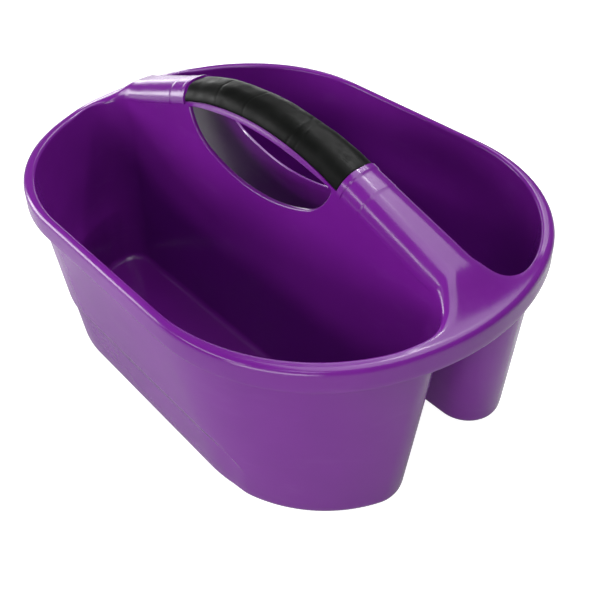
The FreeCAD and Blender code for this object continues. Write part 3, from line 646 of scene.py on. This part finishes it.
def add_camera():
    """The view: round the object from its front, above it, and rolled a little."""
    azimuth, elevation, roll = (math.radians(a) for a in (CAMERA_AZIMUTH, CAMERA_ELEVATION, CAMERA_ROLL))
    back = Vector((math.sin(azimuth) * math.cos(elevation), -math.cos(azimuth) * math.cos(elevation),
                   math.sin(elevation)))
    level = Vector((math.cos(azimuth), math.sin(azimuth), 0.0))
    upright = back.cross(level)
    right = level * math.cos(roll) + upright * math.sin(roll)
    up = upright * math.cos(roll) - level * math.sin(roll)
    data = bpy.data.cameras.new("camera")
    data.lens = CAMERA_LENS
    data.sensor_width = CAMERA_SENSOR
    data.clip_start = 0.01
    camera = bpy.data.objects.new("camera", data)
    camera.matrix_world = Matrix.Translation(CAMERA_PLACE) @ Matrix((right, up, back)).transposed().to_4x4()
    bpy.context.scene.collection.objects.link(camera)
    bpy.context.scene.camera = camera


WORLD_DIM, WORLD_WHITE = 0.12, 1.1
LIGHT_TARGET = Vector((0.0, 0.0, 0.1))
FLOOR_REACH = 6.0
# keeps the floor's face clear of the flat feet
FLOOR_DROP = 0.0002


def add_area_light(name, place, width, height, power):
    """A white soft box that faces the middle of the object."""
    data = bpy.data.lights.new(name, "AREA")
    data.shape = "RECTANGLE"
    data.size = width
    data.size_y = height
    data.energy = power
    light = bpy.data.objects.new(name, data)
    light.location = place
    light.rotation_mode = "QUATERNION"
    light.rotation_quaternion = (LIGHT_TARGET - Vector(place)).to_track_quat("-Z", "Y")
    bpy.context.scene.collection.objects.link(light)


def add_world():
    """White behind the object, and dim in what the plastic reflects, so the purple stays deep."""
    world = bpy.data.worlds.new("studio")
    world.use_nodes = True
    tree = world.node_tree
    background = tree.nodes["Background"]
    background.inputs["Color"].default_value = (1.0, 1.0, 1.0, 1.0)
    rays = tree.nodes.new("ShaderNodeLightPath")
    level = tree.nodes.new("ShaderNodeMapRange")
    level.inputs["To Min"].default_value = WORLD_DIM
    level.inputs["To Max"].default_value = WORLD_WHITE
    tree.links.new(rays.outputs["Is Camera Ray"], level.inputs["Value"])
    tree.links.new(level.outputs["Result"], background.inputs["Strength"])
    bpy.context.scene.world = world


# name, place, width, height and power of each soft box, in metres and watts
SOFT_BOXES = (
    ("overhead", (0.25, 0.35, 1.5), 1.6, 1.3, 17.5),
    ("near_side", (-0.15, -1.30, 0.85), 0.9, 0.20, 4.0),
    ("far_left", (-0.75, 1.1, 1.3), 0.8, 0.4, 5.0),
    ("flange_glare", (-0.20, 0.75, 1.40), 0.20, 0.16, 6.0),
    ("front_streak", (0.65, -0.75, 1.15), 0.35, 0.10, 1.3),
    ("left_low", (-1.35, -0.95, 0.42), 1.0, 0.6, 15.0),
    ("front_low", (0.75, -1.45, 0.36), 1.2, 0.5, 11.5),
    ("backdrop", (-1.7, 0.95, 0.12), 1.6, 0.55, 11.0),
)


def add_studio():
    """Large soft boxes round the object."""
    add_world()
    bpy.context.scene.view_settings.view_transform = "Standard"
    for name, place, width, height, power in SOFT_BOXES:
        add_area_light(name, place, width, height, power)


def add_floor():
    mesh = bpy.data.meshes.new("floor")
    corners = [(x * FLOOR_REACH, y * FLOOR_REACH, 0) for x, y in ((-1, -1), (1, -1), (1, 1), (-1, 1))]
    mesh.from_pydata(corners, [], [(0, 1, 2, 3)])
    floor = bpy.data.objects.new("floor", mesh)
    floor.location.z = -FLOOR_DROP
    bpy.context.scene.collection.objects.link(floor)
    mesh.materials.append(floor_material())


# ---------------------------------------------------------------- materials
# linear colours
PURPLE_DARK, PURPLE_LIGHT = (0.138, 0.0085, 0.222), (0.165, 0.0115, 0.258)
PURPLE_RUBBED = (0.330, 0.110, 0.420)
BLACK_DARK, BLACK_LIGHT = (0.0035, 0.0038, 0.0036), (0.0065, 0.0070, 0.0066)
BLACK_SCUFFED = (0.035, 0.036, 0.036)
PAPER_DARK, PAPER_LIGHT = (0.54, 0.54, 0.54), (0.56, 0.56, 0.56)
# the part of a noise value's range that holds most of it
NOISE_LOW, NOISE_HIGH = 0.3, 0.7
# bump heights, in metres
PLASTIC_WAVES, PLASTIC_GRAIN = 0.00008, 0.000005
RUBBER_WAVES, RUBBER_GRAIN = 0.00006, 0.00001
# how brightly the floor glows, in what the object reflects and to the camera
FLOOR_GLOW_DIM, FLOOR_GLOW_WHITE = 0.15, 0.95


def new_material(name):
    material = bpy.data.materials.new(name)
    material.use_nodes = True
    tree = material.node_tree
    return material, tree, tree.nodes["Principled BSDF"]


def noise(tree, scale, detail, roughness=0.5, stretch=(1.0, 1.0, 1.0)):
    """Noise fixed to the object, in features per metre."""
    place = tree.nodes.new("ShaderNodeTexCoord")
    mapping = tree.nodes.new("ShaderNodeMapping")
    mapping.inputs["Scale"].default_value = stretch
    node = tree.nodes.new("ShaderNodeTexNoise")
    node.inputs["Scale"].default_value = scale
    node.inputs["Detail"].default_value = detail
    node.inputs["Roughness"].default_value = roughness
    tree.links.new(place.outputs["Object"], mapping.inputs["Vector"])
    tree.links.new(mapping.outputs["Vector"], node.inputs["Vector"])
    return node.outputs["Fac"]


def ramp(tree, source, low, high):
    """Turns a noise value into a colour between two, over its middle range."""
    node = tree.nodes.new("ShaderNodeValToRGB")
    elements = node.color_ramp.elements
    elements[0].position, elements[0].color = NOISE_LOW, (*low, 1.0)
    elements[1].position, elements[1].color = NOISE_HIGH, (*high, 1.0)
    tree.links.new(source, node.inputs["Fac"])
    return node.outputs["Color"]


def spread(tree, source, low, high, start=0.0, end=1.0):
    """Turns a value between start and end into one between low and high."""
    node = tree.nodes.new("ShaderNodeMapRange")
    node.inputs["From Min"].default_value = start
    node.inputs["From Max"].default_value = end
    node.inputs["To Min"].default_value = low
    node.inputs["To Max"].default_value = high
    tree.links.new(source, node.inputs["Value"])
    return node.outputs["Result"]


def mix(tree, share, first, second):
    """A first colour's socket mixed with a second plain colour, by a share's socket."""
    node = tree.nodes.new("ShaderNodeMix")
    node.data_type = "RGBA"
    tree.links.new(share, node.inputs["Factor"])
    tree.links.new(first, node.inputs["A"])
    node.inputs["B"].default_value = (*second, 1.0)
    return node.outputs["Result"]


def bump(tree, source, height, normal=None):
    """A bump of a height in metres, on top of another one if that is given."""
    node = tree.nodes.new("ShaderNodeBump")
    node.inputs["Distance"].default_value = height
    tree.links.new(source, node.inputs["Height"])
    if normal:
        tree.links.new(normal, node.inputs["Normal"])
    return node.outputs["Normal"]


def plastic_material():
    """Glossy moulded purple plastic: cloudy tint, fine matt grain, and light rubbing marks."""
    material, tree, shader = new_material("purple_plastic")
    tint = ramp(tree, noise(tree, 11.0, 4.0), PURPLE_DARK, PURPLE_LIGHT)
    rubbed = spread(tree, noise(tree, 26.0, 6.0, 0.65, (1.0, 1.0, 3.5)), 0.0, 0.05, 0.56, 0.74)
    tint = mix(tree, rubbed, tint, PURPLE_RUBBED)
    tree.links.new(tint, shader.inputs["Base Color"])
    rough = noise(tree, 75.0, 5.0, 0.6)
    tree.links.new(spread(tree, rough, 0.15, 0.25, NOISE_LOW, NOISE_HIGH), shader.inputs["Roughness"])
    waves = bump(tree, noise(tree, 34.0, 2.0), PLASTIC_WAVES)
    tree.links.new(bump(tree, noise(tree, 1500.0, 2.0), PLASTIC_GRAIN, waves), shader.inputs["Normal"])
    shader.inputs["IOR"].default_value = 1.50
    shader.inputs["Subsurface Weight"].default_value = 0.06
    shader.inputs["Subsurface Radius"].default_value = (0.004, 0.001, 0.005)
    shader.inputs["Subsurface Scale"].default_value = 1.0
    return material


def rubber_material():
    """Soft black rubber with a fine grain and slight scuffs."""
    material, tree, shader = new_material("grip_rubber")
    tint = ramp(tree, noise(tree, 60.0, 4.0), BLACK_DARK, BLACK_LIGHT)
    scuffed = spread(tree, noise(tree, 120.0, 6.0, 0.7, (0.3, 1.0, 1.0)), 0.0, 0.10, 0.58, 0.75)
    tint = mix(tree, scuffed, tint, BLACK_SCUFFED)
    tree.links.new(tint, shader.inputs["Base Color"])
    rough = noise(tree, 160.0, 4.0)
    tree.links.new(spread(tree, rough, 0.34, 0.52, NOISE_LOW, NOISE_HIGH), shader.inputs["Roughness"])
    grain = bump(tree, noise(tree, 2200.0, 2.0), RUBBER_GRAIN)
    tree.links.new(bump(tree, noise(tree, 90.0, 3.0), RUBBER_WAVES, grain), shader.inputs["Normal"])
    shader.inputs["Specular IOR Level"].default_value = 0.07
    return material


def floor_material():
    """Plain white paper that glows to the camera, so the object's shadow almost disappears in it."""
    material, tree, shader = new_material("floor")
    tint = ramp(tree, noise(tree, 3.0, 2.0), PAPER_DARK, PAPER_LIGHT)
    tree.links.new(tint, shader.inputs["Base Color"])
    shader.inputs["Roughness"].default_value = 0.8
    shader.inputs["Specular IOR Level"].default_value = 0.1
    shader.inputs["Emission Color"].default_value = (1.0, 1.0, 1.0, 1.0)
    rays = tree.nodes.new("ShaderNodeLightPath")
    glow = spread(tree, rays.outputs["Is Camera Ray"], FLOOR_GLOW_DIM, FLOOR_GLOW_WHITE)
    tree.links.new(glow, shader.inputs["Emission Strength"])
    return material


# ---------------------------------------------------------------- the pieces
SHARP_ANGLE = math.radians(38.0)


def add_piece(name, mesh, material, node):
    """Makes an object of a mesh, smooth except at sharp edges, that stands for a CAD node."""
    data = bpy.data.meshes.new(name)
    mesh.to_mesh(data)
    mesh.free()
    data.shade_smooth()
    data.set_sharp_from_angle(angle=SHARP_ANGLE)
    data.materials.append(material)
    piece = bpy.data.objects.new(name, data)
    bpy.context.scene.collection.objects.link(piece)
    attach(piece, "root")
    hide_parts(node)


def cut_opening(mesh):
    """Cuts the hand opening through a mesh and gives the result as a new mesh."""
    pieces = []
    for name, source in (("uncut_tub", mesh), ("opening_cutter", opening_cutter())):
        data = bpy.data.meshes.new(name)
        source.to_mesh(data)
        source.free()
        pieces.append(bpy.data.objects.new(name, data))
        bpy.context.scene.collection.objects.link(pieces[-1])
    modifier = pieces[0].modifiers.new("hand_opening", "BOOLEAN")
    modifier.operation = "DIFFERENCE"
    modifier.solver = "EXACT"
    modifier.object = pieces[1]
    bpy.context.view_layer.update()
    result = bmesh.new()
    result.from_object(pieces[0], bpy.context.evaluated_depsgraph_get())
    for piece in pieces:
        data = piece.data
        bpy.data.objects.remove(piece)
        bpy.data.meshes.remove(data)
    return result


add_camera()
add_studio()
add_floor()
add_piece("tub", cut_opening(tub_mesh()), plastic_material(), "caddy_tub")
add_piece("sleeve", sleeve_mesh(), rubber_material(), "grip_sleeve")
